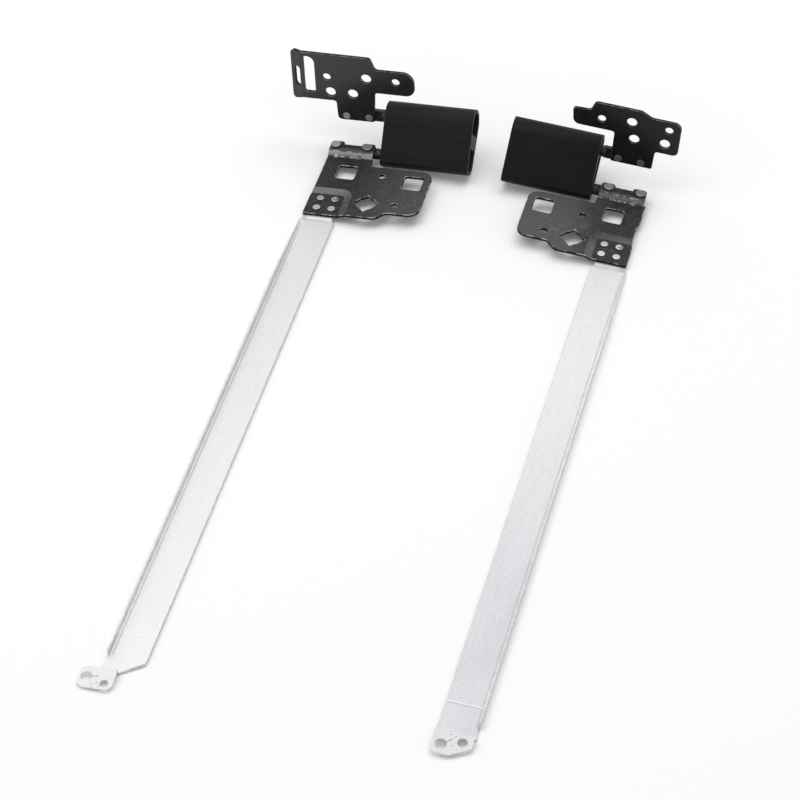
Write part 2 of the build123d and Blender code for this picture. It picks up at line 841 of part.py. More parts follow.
with BuildPart() as left_base_bracket:
    with BuildSketch(bracket_face):
        rounded(
            [
                (left_foot, bracket_bottom, foot_round),
                (bracket_side - bracket_splay, bracket_bottom, toe_round),
                (bracket_side, tongue_bottom, notch_round),
                (tongue_reach, tongue_bottom, tongue_round_low),
                (tongue_reach, tongue_top, tongue_round_high),
                (bracket_step + step_run, tongue_top, step_round),
                (bracket_step, bracket_top, step_round),
                (post_bend, bracket_top, 0),
                (post_bend, post_bottom, 0),
                (left_foot - foot_splay, post_bottom, notch_round),
            ]
        )
        bracket_cuts(left_bracket_holes)
        rounded(
            [
                (window_west, window_south, window_corner),
                (window_east, window_south, window_corner),
                (window_east, window_north, window_crown),
                (window_west, window_north, window_corner),
            ],
            Mode.SUBTRACT,
        )
    extrude(amount=sheet)
    with BuildSketch(post_plane):
        rounded(
            [
                (-post_length, post_bottom - post_foot, post_foot_round),
                (0, post_bottom, 0),
                (0, bracket_top, 0),
                (-post_length, bracket_top, post_round),
            ]
        )
        with Locations((-post_slot_at, post_middle - post_slot_drop)):
            SlotOverall(post_slot[1], post_slot[0], rotation=90, mode=Mode.SUBTRACT)
    extrude(amount=-sheet)
save("left_base_bracket", left_base_bracket)

# Right base bracket, with a shorter outer end and a hooked tongue
with BuildPart() as right_base_bracket:
    with BuildSketch(bracket_face):
        rounded(
            [
                (right_foot, bracket_bottom, toe_round),
                (bracket_side, bracket_bottom, toe_round),
                (bracket_side, tongue_bottom, notch_round),
                (right_tongue_reach - hook_run, tongue_bottom, right_tongue_round),
                (right_tongue_reach, right_tongue_top, hook_round),
                (right_tongue_reach - hook_length, right_tongue_top + hook_rise, step_round),
                (right_tongue_reach - hook_length - hook_step, right_top, step_round),
                (crown_start, right_top, crown_round),
                (crown_foot, right_shoulder, crown_round),
                (right_outer, right_shoulder, right_round),
                (right_outer, post_bottom, crown_round),
                (right_foot - foot_splay, post_bottom, notch_round),
            ]
        )
        bracket_cuts(right_bracket_holes)
    extrude(amount=sheet)
save_right("base_bracket", right_base_bracket)
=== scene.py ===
import json
import math

import bmesh
import bpy
from mathutils import Matrix, Vector


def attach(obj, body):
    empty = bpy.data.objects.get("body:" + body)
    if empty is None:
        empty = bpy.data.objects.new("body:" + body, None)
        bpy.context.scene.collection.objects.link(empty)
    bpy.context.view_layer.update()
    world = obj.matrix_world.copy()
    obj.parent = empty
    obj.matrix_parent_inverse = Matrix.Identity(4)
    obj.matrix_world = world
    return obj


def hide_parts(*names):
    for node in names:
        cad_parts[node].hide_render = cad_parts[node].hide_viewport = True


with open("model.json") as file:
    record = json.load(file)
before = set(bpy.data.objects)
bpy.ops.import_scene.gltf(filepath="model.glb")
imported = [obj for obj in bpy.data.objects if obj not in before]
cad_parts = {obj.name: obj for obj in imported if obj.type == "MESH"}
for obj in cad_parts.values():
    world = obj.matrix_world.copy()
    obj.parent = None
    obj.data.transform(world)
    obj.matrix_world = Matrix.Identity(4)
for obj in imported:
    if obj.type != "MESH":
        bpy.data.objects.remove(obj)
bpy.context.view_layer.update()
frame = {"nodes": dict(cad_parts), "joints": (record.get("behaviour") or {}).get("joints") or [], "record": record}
nodes = frame["nodes"]
mm = 0.001
sides = ("left", "right")
print("frame loaded:", len(nodes), "nodes")


# hinge frames: x inwards from the strip's outer edge, y back from the lid plate's front edge, z up

hingeLayout = {
    "coverReach": 15.0,  # strip's outer edge to the cover's outer end
    "axisFromFront": 27.3,
}


def hingeFrame(side):
    joint = next(j for j in frame["joints"] if j["name"] == side + "_cover_turn")
    inward = Vector(joint["axis"])
    if side == "right":
        inward = -inward
    back = Vector((0, 1, 0))
    upward = inward.cross(back)
    if upward.z < 0:
        upward = -upward
    axis = Vector(joint["pos_m"])
    ends = [inward.dot(vertex.co) for vertex in nodes[side + "_cover"].data.vertices]
    corner = axis + inward * (min(ends) - inward.dot(axis) - hingeLayout["coverReach"] * mm)
    corner -= back * hingeLayout["axisFromFront"] * mm
    turned = Matrix((inward, back, upward)).transposed().to_4x4()
    return Matrix.Translation(corner) @ turned @ Matrix.Scale(mm, 4)


hinge = {side: hingeFrame(side) for side in sides}
toHinge = {side: hinge[side].inverted() for side in sides}
axes = {side: hinge[side].to_3x3().normalized() for side in sides}
print("hinge corners:", [[round(v / mm, 2) for v in hinge[side].translation] for side in sides])


# node trees

class Wire:
    # an output socket that takes part in sums
    def __init__(self, graph, socket):
        self.graph = graph
        self.socket = socket

    def maths(self, operation, first, second=0.0):
        return self.graph.node("ShaderNodeMath", {"operation": operation}, {0: first, 1: second})

    def __add__(self, other):
        return self.maths("ADD", self, other)

    def __radd__(self, other):
        return self.maths("ADD", other, self)

    def __sub__(self, other):
        return self.maths("SUBTRACT", self, other)

    def __rsub__(self, other):
        return self.maths("SUBTRACT", other, self)

    def __mul__(self, other):
        return self.maths("MULTIPLY", self, other)

    def __rmul__(self, other):
        return self.maths("MULTIPLY", other, self)

    def __truediv__(self, other):
        return self.maths("DIVIDE", self, other)

    def __rtruediv__(self, other):
        return self.maths("DIVIDE", other, self)

    def __abs__(self):
        return self.maths("ABSOLUTE", self)


class Graph:
    def __init__(self, tree):
        self.tree = tree

    def node(self, kind, settings=None, sockets=None, out=0):
        made = self.tree.nodes.new(kind)
        for key, value in (settings or {}).items():
            setattr(made, key, value)
        for key, value in (sockets or {}).items():
            target = made.inputs[key]
            if isinstance(value, Wire):
                self.tree.links.new(value.socket, target)
            else:
                target.default_value = value
        return Wire(self, made.outputs[out])

    def parts(self, vector):
        return [self.node("ShaderNodeSeparateXYZ", sockets={"Vector": vector}, out=axis) for axis in "XYZ"]

    def reach(self, x, y):
        flat = self.node("ShaderNodeCombineXYZ", sockets={"X": x, "Y": y})
        return self.node("ShaderNodeVectorMath", {"operation": "LENGTH"}, {0: flat}, out="Value")

    def ease(self, value, low, high):
        # 0 at low and 1 at high, whichever is the larger
        flipped = low > high
        first, last = (1.0, 0.0) if flipped else (0.0, 1.0)
        ends = {"From Min": min(low, high), "From Max": max(low, high), "To Min": first, "To Max": last}
        return self.node(
            "ShaderNodeMapRange", {"interpolation_type": "SMOOTHSTEP"}, {"Value": value, **ends}
        )


scratchLines = {"size": 0.2, "stretch": 0.045, "shown": (0.66, 0.74)}


class Finish(Graph):
    # a material on the principled shader, with its pattern laid out in a hinge's own millimetres
    def __init__(self, name, side):
        self.material = bpy.data.materials.new(name)
        self.material.use_nodes = True
        super().__init__(self.material.node_tree)
        self.shader = self.tree.nodes["Principled BSDF"]
        spot = self.node("ShaderNodeTexCoord", out="Object")
        self.x, self.y, self.z = (self.along(spot, row.xyz) + row.w for row in toHinge[side][:3])
        self.place = self.node("ShaderNodeCombineXYZ", sockets={"X": self.x, "Y": self.y, "Z": self.z})

    def along(self, vector, direction):
        pair = {0: vector, 1: direction}
        return self.node("ShaderNodeVectorMath", {"operation": "DOT_PRODUCT"}, pair, out="Value")

    def noise(self, size, detail=2.0, stretch=(1, 1, 1), turn=0.0, shift=0.0, rough=0.5):
        place = self.place
        if turn:
            place = self.node(
                "ShaderNodeVectorRotate", {"rotation_type": "Z_AXIS"}, {"Vector": place, "Angle": turn}
            )
        shares = {"Scale": [share / size for share in stretch], "Location": (shift, shift, shift)}
        place = self.node("ShaderNodeMapping", sockets={"Vector": place, **shares})
        return self.node(
            "ShaderNodeTexNoise",
            sockets={"Vector": place, "Scale": 1.0, "Detail": detail, "Roughness": rough},
        )

    def scratches(self, turn, shift):
        stretch = (scratchLines["stretch"], 1, 1)
        return self.ease(self.noise(scratchLines["size"], 2, stretch, turn, shift), *scratchLines["shown"])

    def near(self, spot, inner, outer):
        # 1 within the inner distance of a spot on the sheet, 0 beyond the outer one
        return self.ease(self.reach(self.x - spot[0], self.y - spot[1]), outer, inner)

    def triangle(self, spot, size, line):
        # outline of a small stamped triangle that points to the front
        edges = [
            (self.x - spot[0]) * math.cos(turn) + (self.y - spot[1]) * math.sin(turn)
            for turn in (math.radians(angle) for angle in (90, 210, 330))
        ]
        inside = edges[0].maths("MAXIMUM", edges[0], edges[1])
        inside = inside.maths("MAXIMUM", inside, edges[2])
        return self.ease(abs(inside - size), *line)

    def field(self, name, out):
        return self.node("ShaderNodeAttribute", {"attribute_name": name}, out=out)

    def mix(self, share, first, second):
        colours = [c if isinstance(c, Wire) else (*c, 1.0) for c in (first, second)]
        return self.node(
            "ShaderNodeMix", {"data_type": "RGBA"}, {0: share, 6: colours[0], 7: colours[1]}, out=2
        )

    def bump(self, height, depth):
        # depth in millimetres for a height of one
        return self.node("ShaderNodeBump", sockets={"Height": height, "Distance": depth * mm})

    def wear(self, **sockets):
        for key, value in sockets.items():
            target = self.shader.inputs[key.replace("_", " ")]
            if isinstance(value, Wire):
                self.tree.links.new(value.socket, target)
            elif target.type == "RGBA":
                target.default_value = (*value, 1.0)
            else:
                target.default_value = value
        return self.material


def grey(level):
    return (level, level, level)


# black sheet: lid plates and base brackets

def blackSheetFinish(name, side, setup):
    paint = Finish(name, side)
    shift = setup["shift"]
    cloud = paint.noise(setup["cloudSize"], 3, shift=shift)
    mottle = paint.noise(setup["mottleSize"], 4, shift=shift, rough=0.65)
    grain = paint.noise(setup["grainSize"], 2)
    fleck = paint.noise(setup["fleckSize"], 3, shift=shift, rough=0.7)
    worn = paint.near(setup["scuffAt"], *setup["scuffReach"])
    first, second, third = (paint.scratches(*stroke) for stroke in setup["strokes"])
    elsewhere = setup["scuffElsewhere"]
    scuff = (first + second + third) * (worn * (1 - elsewhere) + elsewhere)
    # painted light: the tone turns lighter along one direction, as light falling across the sheet
    x, y, z, cloudy, start, end = setup["litToward"]
    litShare = paint.ease(paint.x * x + paint.y * y + paint.z * z + (cloud - 0.5) * cloudy, start, end)
    tone = paint.mix(litShare, setup["dark"], setup["light"])
    tone = paint.mix(paint.ease(mottle, *setup["mottled"]) * setup["mottle"], tone, setup["rubAndSheen"])
    tone = paint.mix(paint.ease(fleck, *setup["flecked"]) * setup["fleck"], tone, setup["rubAndSheen"])
    tone = paint.mix(scuff * setup["scuff"], tone, setup["scratch"])
    relief = grain + mottle * setup["mottleDepth"] - scuff * setup["scuffDepth"]
    # painted sheen: the shelf's front is painted toward the lighter tone of the mottle, as light catching it
    if setup["shelf"]:
        front = paint.ease(paint.z, *setup["shelfAbove"]) * paint.ease(paint.y, *setup["shelf"])
        tone = paint.mix(front * setup["shelfSheen"], tone, setup["rubAndSheen"])
    if setup["mark"]:
        stamp = paint.triangle(setup["mark"], setup["markSize"], setup["markLine"])
        tone = paint.mix(stamp * setup["markShade"], tone, setup["dark"])
        relief = relief - stamp * setup["markDepth"]
    least, byMottle, byGrain = setup["roughness"]
    return paint.wear(
        Base_Color=tone,
        Metallic=setup["metallic"],
        Roughness=least + byMottle * mottle + byGrain * grain,
        Specular_IOR_Level=setup["specular"],
        Normal=paint.bump(relief, setup["relief"]),
    )


blackSheet = {
    "cloudSize": 8.0, "mottleSize": 1.3, "grainSize": 0.16, "fleckSize": 0.4,
    "mottled": (0.48, 0.75), "mottle": 0.4, "mottleDepth": 0.8,
    "flecked": (0.5, 0.72), "fleck": 0.3,
    "strokes": ((0.9, 3.0), (-0.5, 7.0), (0.15, 11.0)),  # turn and shift of each layer of scratches
    "scuff": 0.6, "scuffDepth": 0.5,
    "scuffReach": (1.5, 6.0),  # scratches thin out between these distances
    "scuffElsewhere": 0.15,
    "shelf": None,  # where the painted sheen on the shelf's front fades out
    "shelfAbove": (0.9, 1.3), "shelfSheen": 0.8,
    "mark": None,
    "markSize": 0.62, "markLine": (0.2, 0.06), "markShade": 0.6, "markDepth": 3.0,
    "roughness": (0.36, 0.2, 0.08),  # at least, by mottle, by grain
    "relief": 0.006,
    "metallic": 0.2,
    "specular": 0.25,
    "shift": 0.0,
}
# painted light across the sheet: a direction, how far clouds push it, and where along it the light tone starts and
# is full
lidPlate = {
    "left": {
        "dark": grey(0.016), "light": grey(0.060), "rubAndSheen": grey(0.105), "scratch": grey(0.36),
        "litToward": (1.0, 0.0, 0.0, 14.0, 8.0, 26.0), "scuffAt": (27.8, 8.6), "mark": (16.8, 12.6),
        "shelf": (26.9, 25.9),
    },
    "right": {
        "dark": grey(0.022), "light": (0.080, 0.076, 0.084), "rubAndSheen": (0.125, 0.119, 0.130),
        "scratch": grey(0.40), "litToward": (1.0, 0.0, 0.0, 14.0, 7.0, 20.0), "scuffAt": (22.0, 9.0),
        "mark": (15.6, 12.8), "shelf": (26.4, 25.6), "shift": 4.0,
    },
}
litSlopeBand = {  # the slope round the pad, painted lighter as light falling on it: left brightest behind the rivets, right beside them
    "left": {
        "dark": grey(0.046), "light": grey(0.150), "rubAndSheen": grey(0.19), "scratch": grey(0.4), "fleck": 0.4,
        "litToward": (-0.25, 1.0, 0.0, 4.0, 3.5, 8.5), "scuffAt": (9.0, 5.0), "scuffReach": (3.0, 9.0),
    },
    "right": {
        "dark": grey(0.034), "light": grey(0.105), "rubAndSheen": grey(0.13), "scratch": grey(0.4), "fleck": 0.4,
        "litToward": (-0.3, -1.0, 0.0, 4.0, -12.8, -8.0), "scuffAt": (9.0, 4.0), "scuffReach": (3.0, 9.0),
        "shift": 4.0,
    },
}
# painted light: the riser is painted lighter than the plate and lighter towards its top, as light falling on its
# front
shelfRiser = {
    "left": {
        "dark": grey(0.11), "light": grey(0.34), "rubAndSheen": grey(0.40), "scratch": grey(0.5),
        "litToward": (0.0, 0.0, 1.0, 2.0, 0.0, 0.9), "scuffAt": (6.0, 24.5),
    },
    "right": {
        "dark": grey(0.04), "light": grey(0.14), "rubAndSheen": grey(0.22), "scratch": grey(0.5),
        "litToward": (0.0, 0.0, 1.0, 2.0, 0.0, 0.9), "scuffAt": (6.0, 24.5), "shift": 4.0,
    },
}
# painted light and shade: each bracket turns lighter towards its top and outer end, and the right bracket is
# painted darker than the left
bracketSheet = {
    "left": {
        "dark": grey(0.016), "light": grey(0.062), "rubAndSheen": grey(0.050), "scratch": grey(0.14),
        "litToward": (-0.55, 0.0, 1.0, 5.0, 7.0, 19.0), "scuffAt": (2.0, 26.0), "specular": 0.12, "scuff": 0.4,
    },
    "right": {
        "dark": grey(0.006), "light": grey(0.026), "rubAndSheen": grey(0.030), "scratch": grey(0.12),
        "litToward": (-0.55, 0.0, 1.0, 5.0, 7.0, 19.0), "scuffAt": (-4.0, 26.0), "specular": 0.12, "scuff": 0.4,
        "shift": 4.0,
    },
}


# worn edges and cut walls

def wornEdgeFinish(name, side, setup):
    paint = Finish(name, side)
    patch = paint.noise(wornEdge["patchSize"], 3, rough=0.7, shift=setup["shift"])
    grain = paint.noise(wornEdge["grainSize"], 2)
    tone = paint.mix(paint.ease(patch, *setup["patches"]), setup["dark"], setup["light"])
    least, byPatch = wornEdge["roughness"]
    return paint.wear(
        Base_Color=tone,
        Metallic=setup["metallic"],
        Roughness=least + byPatch * patch,
        Specular_IOR_Level=setup["specular"],
        Normal=paint.bump(grain, wornEdge["relief"]),
    )


wornEdge = {"patchSize": 2.2, "grainSize": 0.12, "roughness": (0.34, 0.25), "relief": 0.004}
plateEdge = {
    "dark": grey(0.03), "light": grey(0.42), "patches": (0.43, 0.58),
    "metallic": 0.5, "specular": 0.3, "shift": 0.0,
}
bracketEdge = {
    "dark": grey(0.020), "light": grey(0.16), "patches": (0.38, 0.6),
    "metallic": 0.4, "specular": 0.3, "shift": 2.0,
}
# painted shade: the cut walls are darker than the faces, as shade on walls that look down and forward; their
# patches are wear
cutWall = {
    "dark": grey(0.006), "light": grey(0.022), "patches": (0.45, 0.75),
    "metallic": 0.2, "specular": 0.12, "shift": 5.0,
}
lugWear = {
    "dark": grey(0.06), "light": grey(0.32), "patches": (0.42, 0.6),
    "metallic": 0.6, "specular": 0.4, "shift": 8.0,
}
coverEdge = {
    "dark": grey(0.010), "light": grey(0.06), "patches": (0.4, 0.7),
    "metallic": 0.3, "specular": 0.2, "shift": 3.0,
}
stripEdge = {
    "dark": grey(0.40), "light": grey(0.82), "patches": (0.35, 0.6),
    "metallic": 0.6, "specular": 0.5, "shift": 1.0,
}
stripWall = {
    "dark": grey(0.60), "light": grey(0.80), "patches": (0.3, 0.7),
    "metallic": 0.25, "specular": 0.4, "shift": 3.0,
}


# covers: black and finely brushed along the shafts

def brushedCoverFinish(name, side, setup):
    paint = Finish(name, side)
    lines = paint.noise(setup["lineSize"], 3, setup["lineStretch"], shift=setup["shift"])
    broad = paint.noise(setup["broadSize"], 2, setup["broadStretch"], shift=setup["broadShift"])
    cloud = paint.noise(setup["cloudSize"], 3, shift=setup["shift"])
    speck = paint.ease(paint.noise(setup["speckSize"], 2, shift=setup["speckShift"]), *setup["specked"])
    stroke = lines * setup["lineShare"] + broad * (1 - setup["lineShare"])
    tone = paint.mix(paint.ease(stroke, *setup["stroked"]), setup["dark"], setup["light"])
    tone = paint.mix(paint.ease(cloud, *setup["clouded"]) * setup["haze"], tone, setup["hazed"])
    tone = paint.mix(speck * setup["speck"], tone, setup["speckTone"])
    least, byStroke, byCloud = setup["roughness"]
    return paint.wear(
        Base_Color=tone,
        Metallic=setup["metallic"],
        Roughness=least + byStroke * stroke + byCloud * cloud,
        Specular_IOR_Level=setup["specular"],
        Normal=paint.bump(stroke, setup["relief"]),
    )


brushedCover = {
    "both": {
        "lineSize": 0.11, "lineStretch": (0.012, 1, 1), "lineShare": 0.65, "stroked": (0.3, 0.7),
        "broadSize": 0.7, "broadStretch": (0.02, 1, 1), "broadShift": 5.0,
        "cloudSize": 7.0, "clouded": (0.4, 0.75), "haze": 0.4,
        "speckSize": 0.5, "specked": (0.74, 0.8), "speckShift": 9.0, "speck": 0.35, "speckTone": grey(0.16),
        "roughness": (0.36, 0.2, 0.06), "relief": 0.012, "metallic": 0.0,
    },
    "left": {
        "dark": grey(0.0030), "light": grey(0.0110), "hazed": grey(0.013), "specular": 0.13, "shift": 0.0,
    },
    "right": {
        "dark": grey(0.0018), "light": grey(0.0060), "hazed": grey(0.007), "specular": 0.115, "shift": 6.0,
    },
}


# strips: satin plated sheet

def silver(level):
    return (level, level * 0.998, level * 1.018)


def satinStripFinish(name, side, setup):
    paint = Finish(name, side)
    shift = setup["shift"]
    lines = paint.noise(setup["lineSize"], 3, setup["lineStretch"], shift=shift)
    speck = paint.noise(setup["speckSize"], 3, rough=0.6, shift=shift)
    cloud = paint.noise(setup["cloudSize"], 3, setup["cloudStretch"], shift=shift)
    stainAndShade = paint.ease(paint.noise(setup["stainSize"], 3, shift=shift), *setup["stained"])
    grain = lines * (1 - setup["speckShare"]) + speck * setup["speckShare"]
    tab = paint.ease(paint.y, *setup["tabFrom"])
    joggle = paint.ease(paint.y, *setup["joggleFrom"])
    foot = paint.ease(abs(paint.y - setup["footAt"]), *setup["footWidth"])
    corner = paint.ease(paint.x, *setup["cornerWithin"]) * joggle
    bend = paint.ease(abs(paint.x - setup["bendAt"]), *setup["bendWidth"])
    bend = bend * paint.ease(paint.y, *setup["bendStart"]) * paint.ease(paint.y, *setup["bendEnd"])
    # painted light: the tone changes from back to front along the strip, as light falls along it
    tone = paint.mix(paint.ease(paint.y, *setup["fade"]), setup["back"], setup["front"])
    tone = paint.mix(paint.ease(cloud, *setup["clouded"]) * setup["hazeShare"], tone, setup["haze"])
    # painted light and shade: the tilted tab gets its own tone for the light it catches
    tone = paint.mix(tab, tone, setup["tab"])
    # painted light and shade: the joggle's slope gets its own tone for the light it catches
    tone = paint.mix(joggle, tone, setup["joggle"])
    # painted shade: a dark line along the joggle's foot and a darker patch of the joggle near the outer edge, in
    # the colour that also paints real stains and dark grain
    tone = paint.mix(foot * setup["footShade"] + corner * setup["cornerShade"], tone, setup["stainAndShade"])
    # painted shade: a thin dark line along the flange's bend
    tone = paint.mix(bend * setup["bend"], tone, setup["stainAndShade"])
    tone = paint.mix(paint.ease(grain, *setup["brightGrain"]) * setup["grain"], tone, setup["glint"])
    tone = paint.mix(paint.ease(grain, *setup["darkGrain"]) * setup["grain"], tone, setup["stainAndShade"])
    tone = paint.mix(stainAndShade * setup["stainShare"], tone, setup["stainAndShade"])
    relief = (lines + speck) * 0.5
    # painted shade: each punched dent is painted darker as well as sunk by the bump
    for spot in setup["dots"]:
        dot = paint.near(spot, *setup["dotReach"])
        tone = paint.mix(dot * setup["dotShade"], tone, setup["stainAndShade"])
        relief = relief - dot * setup["dotDepth"]
    metallic, lessOnBends = setup["metallic"]
    least, byLines, byCloud = setup["roughness"]
    return paint.wear(
        Base_Color=tone,
        Metallic=metallic - lessOnBends * (tab + joggle),
        Roughness=least + byLines * lines + byCloud * cloud,
        Normal=paint.bump(relief, setup["relief"]),
    )


# back, front, tab and joggle tones are painted light and shade; foot, corner, bend and dot shares darken as
# painted shade
satinStrip = {
    "both": {
        "lineSize": 0.14, "lineStretch": (1, 0.02, 1), "speckSize": 0.34, "speckShare": 0.7,
        "brightGrain": (0.5, 0.68), "darkGrain": (0.5, 0.32),
        "cloudSize": 14.0, "cloudStretch": (1, 0.4, 1), "clouded": (0.4, 0.7), "hazeShare": 0.25,
        "stainSize": 1.1, "stained": (0.68, 0.8), "stainShare": 0.15,
        "joggleFrom": (-1.5, -1.1), "footAt": -1.4, "footWidth": (0.4, 0.1), "footShade": 0.3,
        "cornerWithin": (2.6, 1.2), "cornerShade": 0.6,
        "bendAt": 0.98, "bendWidth": (0.24, 0.06), "bendStart": (-2.0, -9.0),
        "dotReach": (0.12, 0.26), "dotShade": 0.8, "dotDepth": 6.0,
        "metallic": (0.7, 0.5),  # on the flat, and less on tab and joggle
        "roughness": (0.38, 0.12, 0.1), "relief": 0.005,
    },
    "left": {
        "back": silver(0.715), "front": silver(0.755), "fade": (-10.0, -120.0), "haze": silver(0.74),
        "tab": silver(0.76), "tabFrom": (-170.2, -170.7), "joggle": silver(0.72),
        "bend": 0.55, "bendEnd": (-165.0, -164.0),
        "glint": silver(0.95), "stainAndShade": grey(0.34), "grain": 0.22, "shift": 2.0,
        "dots": ((-0.7, -175.0), (0.5, -174.7), (1.1, -175.6), (-0.4, -175.9)),
    },
    "right": {
        "back": silver(0.705), "front": (0.500, 0.496, 0.522), "fade": (-25.0, -150.0), "haze": silver(0.70),
        "tab": silver(0.66), "tabFrom": (-169.8, -170.3), "joggle": silver(0.55),
        "bend": 0.3, "bendEnd": (-165.9, -164.9),
        "glint": silver(0.92), "stainAndShade": grey(0.32), "grain": 0.3, "shift": 6.0,
        "dots": ((4.4, -171.2), (5.6, -170.9), (4.8, -173.6)),
    },
}


# rivets: each head a little different, one of each four with a dent painted as a crescent of shade

def rivetFinish(name, side, setup):
    paint = Finish(name, side)
    x, y, _ = paint.parts(paint.field("headPlace", "Vector"))  # in head radii
    struck = paint.field("struck", "Fac")
    dull = paint.noise(setup["dullSize"], 3, rough=0.7, shift=setup["shift"])
    grain = paint.noise(setup["grainSize"], 2)
    reach = paint.reach(x, y)
    # painted shade: one head gets a dark crescent as if dented; its shape has no dent
    dentX, dentY = setup["dentAt"]
    crescent = paint.ease(abs(paint.reach(x - dentX, y - dentY) - setup["dentRadius"]), *setup["dentWidth"])
    crescent = crescent * paint.ease(x - y, *setup["dentSide"])
    worn = dull * (1 - setup["struckShare"]) + struck * setup["struckShare"]
    tone = paint.mix(paint.ease(worn, *setup["worn"]), setup["light"], setup["dark"])
    # painted shadow: a dark ring round the head's edge where it sits on the sheet
    tone = paint.mix(paint.ease(reach, *setup["rimFrom"]) * setup["rim"], tone, setup["outline"])
    tone = paint.mix(crescent * paint.field("dented", "Fac"), tone, setup["outline"])
    least, byDull, byGrain = setup["roughness"]
    return paint.wear(
        Base_Color=tone,
        Metallic=setup["metallic"],
        Roughness=least + byDull * dull + byGrain * grain,
        Normal=paint.bump(dull + grain * 0.5, setup["relief"]),
    )


# rimFrom and the dent entries: where the painted shadow ring and the painted dent's crescent of shade lie, in head
# radii
rivetPattern = {
    "dullSize": 0.8, "grainSize": 0.12, "struckShare": 0.45, "worn": (0.25, 0.75), "rimFrom": (0.84, 0.96),
    "dentAt": (0.25, -0.1), "dentRadius": 0.42, "dentWidth": (0.22, 0.1), "dentSide": (-0.3, 0.3),
    "roughness": (0.36, 0.2, 0.05), "relief": 0.01,
}
# outline and rim: tone and share of a painted shadow round each head; the painted dent uses the same tone
rivetTone = {
    "strip": {"outline": grey(0.04), "rim": 0.6, "metallic": 0.9, "shift": 1.0},
    "lid": {
        "light": grey(0.42), "dark": grey(0.29),
        "outline": grey(0.02), "rim": 0.9, "metallic": 0.8, "shift": 3.0,
    },
    "base": {"outline": grey(0.008), "rim": 0.8, "metallic": 0.6, "shift": 5.0},
}
rivetShade = {
    "left": {
        "strip": {"light": grey(0.56), "dark": grey(0.34)},
        "base": {"light": grey(0.36), "dark": grey(0.25)},
    },
    "right": {
        "strip": {"light": grey(0.72), "dark": grey(0.50)},
        "base": {"light": grey(0.18), "dark": grey(0.11)},
    },
}


# shafts and works

def turnedSteelFinish(name, side, setup):
    paint = Finish(name, side)
    rings = paint.noise(turnedSteel["ringSize"], 2, turnedSteel["ringStretch"])
    oil = paint.noise(turnedSteel["oilSize"], 3, rough=0.65)
    tone = paint.mix(paint.ease(oil, *turnedSteel["oiled"]), setup["dark"], setup["light"])
    least, byOil, byRings = turnedSteel["roughness"]
    return paint.wear(
        Base_Color=tone,
        Metallic=setup["metallic"],
        Roughness=least + byOil * oil + byRings * rings,
        Normal=paint.bump(rings, turnedSteel["relief"]),
    )


turnedSteel = {
    "ringSize": 0.14, "ringStretch": (1, 0.05, 0.05), "oilSize": 1.1, "oiled": (0.35, 0.7),
    "roughness": (0.3, 0.22, 0.1), "relief": 0.006,
}
shaftSteel = {"dark": grey(0.012), "light": grey(0.05), "metallic": 0.6}
worksSteel = {"dark": grey(0.14), "light": grey(0.32), "metallic": 1.0}

finishes = {
    "plateEdge": wornEdgeFinish("wornPlateEdge", "left", plateEdge),
    "bracketEdge": wornEdgeFinish("wornBracketEdge", "left", bracketEdge),
    "cutWall": wornEdgeFinish("darkCutWall", "left", cutWall),
    "lug": wornEdgeFinish("rubbedLug", "left", lugWear),
    "coverEdge": wornEdgeFinish("wornCoverEdge", "left", coverEdge),
    "stripEdge": wornEdgeFinish("brightStripEdge", "left", stripEdge),
    "stripWall": wornEdgeFinish("paleStripWall", "left", stripWall),
    "shaft": turnedSteelFinish("blackenedShaft", "left", shaftSteel),
    "works": turnedSteelFinish("oiledWorks", "left", worksSteel),
}
sheets = {"LidPlate": lidPlate, "Band": litSlopeBand, "Riser": shelfRiser, "Bracket": bracketSheet}
for side in sides:
    for label, setup in sheets.items():
        finishes[side + label] = blackSheetFinish(side + label, side, {**blackSheet, **setup[side]})
    brushed = {**brushedCover["both"], **brushedCover[side]}
    finishes[side + "Cover"] = brushedCoverFinish(side + "Cover", side, brushed)
    satin = {**satinStrip["both"], **satinStrip[side]}
    finishes[side + "Strip"] = satinStripFinish(side + "Strip", side, satin)
    for label, setup in rivetTone.items():
        shade = {**rivetPattern, **setup, **rivetShade[side].get(label, {})}
        finishes[side + label] = rivetFinish(side + label.capitalize() + "Rivet", side, shade)
print("finishes:", len(finishes))


# sheet pieces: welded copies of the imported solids, with rounded edges that show their wear

def link(name, mesh):
    piece = bpy.data.objects.new(name, mesh)
    bpy.context.scene.collection.objects.link(piece)
    return piece


weld = {"distance": 0.002, "flatWithin": math.radians(0.4)}


def weldedCopy(node):
    shell = bmesh.new()
    shell.from_mesh(nodes[node].data)
    bmesh.ops.remove_doubles(shell, verts=shell.verts, dist=weld["distance"] * mm)
    bmesh.ops.dissolve_limit(shell, angle_limit=weld["flatWithin"], verts=shell.verts, edges=shell.edges)
    return shell


def plainMesh(piece):
    # the evaluated shape as a mesh of its own
    depsgraph = bpy.context.evaluated_depsgraph_get()
    mesh = bpy.data.meshes.new_from_object(piece.evaluated_get(depsgraph))
    mesh.name = piece.name
    piece.modifiers.clear()
    piece.data = mesh


def handOver(piece, node, body):
    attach(piece, body)
    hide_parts(node)


sharpAbove = math.radians(38)


